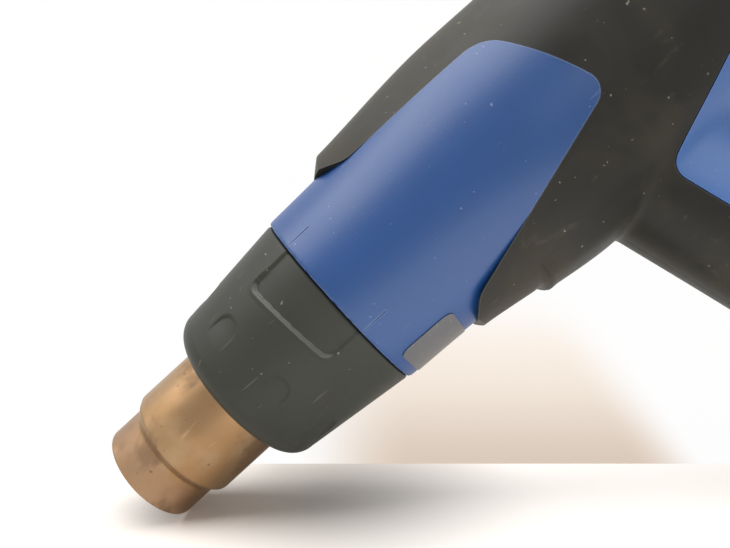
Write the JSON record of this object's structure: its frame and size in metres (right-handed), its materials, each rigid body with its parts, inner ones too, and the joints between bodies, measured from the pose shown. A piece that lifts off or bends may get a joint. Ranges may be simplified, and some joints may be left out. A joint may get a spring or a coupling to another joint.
{
  "type": "heat gun",
  "caption": "Pistol-grip workshop heat gun with a stepped steel nozzle, pull-off protective sleeve, hard shell with soft cover, rear stand ring, rocker switch and temperature dial.",
  "frame": {"origin": "centre of the rear stand, on the plane that the gun stands on", "axes": "+Z along the barrel to the nozzle, +X towards the top of the gun, so the grip runs to -X; the left side faces -Y"},
  "size_m": [0.2109, 0.087, 0.255],
  "materials": {
    "aluminium": "plain",
    "black_hard": "matte",
    "black_soft": "matte",
    "blue_panel": "semi-gloss",
    "blue_shell": "satin textured",
    "board_green": "satin",
    "can_black": "semi-gloss",
    "ceramic": "matte, ceramic look",
    "cutout_white": "matte",
    "dial_grey": "matte",
    "fan_plastic": "matte",
    "grey_plastic": "matte",
    "lead_brown": "matte",
    "lead_dark": "matte",
    "lead_red": "matte",
    "lead_white": "matte",
    "mica": "matte, mica look",
    "motor_steel": "plated",
    "pot_blue": "matte",
    "resistance_wire": "dull",
    "rocker_red": "semi-gloss",
    "rubber_black": "matte",
    "screen_wire": "dull",
    "switch_black": "matte",
    "terminal_grey": "matte",
    "tinted_steel": "heat tinted",
    "zinc_steel": "plated"
  },
  "bodies": {
    "gun": {"air_duct": "grey_plastic", "capacitor": "can_black", "clamp_screw_1": "zinc_steel", "clamp_screw_2": "zinc_steel", "control_board": "board_green", "control_panel": "black_hard", "cord_clamp": "black_hard", "cord_gland": "black_hard", "grip_panel_left": "blue_panel", "grip_panel_right": "blue_panel", "heat_sink": "aluminium", "heater_base": "ceramic", "heater_coil": "resistance_wire", "heater_core": "ceramic", "heater_lead_1": "lead_white", "heater_lead_2": "lead_brown", "housing_left": "blue_shell", "housing_right": "blue_shell", "housing_screw_1": "zinc_steel", "housing_screw_2": "zinc_steel", "housing_screw_3": "zinc_steel", "housing_screw_4": "zinc_steel", "housing_screw_5": "zinc_steel", "housing_screw_6": "zinc_steel", "insulator": "ceramic", "intake_grille": "black_hard", "intake_screen": "screen_wire", "mica_tube": "mica", "motor_cap": "black_hard", "motor_case": "motor_steel", "motor_isolator": "rubber_black", "motor_lead_1": "lead_red", "motor_lead_2": "lead_dark", "motor_mount": "grey_plastic", "nozzle": "tinted_steel", "potentiometer": "pot_blue", "rocker_pin": "zinc_steel", "soft_cover_left": "black_soft", "soft_cover_right": "black_soft", "stand_ring": "rubber_black", "switch_body": "switch_black", "temperature_probe": "zinc_steel", "terminal_block": "terminal_grey", "thermal_cutout": "cutout_white"},
    "sleeve": {"protective_sleeve": "black_hard"},
    "fan_rotor": {"fan": "fan_plastic", "rotor_shaft": "zinc_steel"},
    "dial": {"temperature_dial": "dial_grey", "dial_shaft": "zinc_steel"},
    "rocker": {"switch_rocker": "rocker_red"}
  },
  "joints": [
    {"name": "sleeve_pull", "type": "slide", "parent": "gun", "child": "sleeve", "axis": [0, 0, 1], "range_m": [0, 0.085]},
    {"name": "fan_spin", "type": "hinge", "parent": "gun", "child": "fan_rotor", "pos_m": [0, 0, 0.1], "axis": [0, 0, 1], "continuous": true},
    {"name": "dial_turn", "type": "hinge", "parent": "gun", "child": "dial", "pos_m": [-0.05819, 0, 0.05222], "axis": [0, 1, 0], "range_deg": [-135, 135]},
    {"name": "rocker_tilt", "type": "hinge", "parent": "gun", "child": "rocker", "pos_m": [-0.08017, 0, 0.04737], "axis": [0, 1, 0], "range_deg": [-9, 9]}
  ]
}
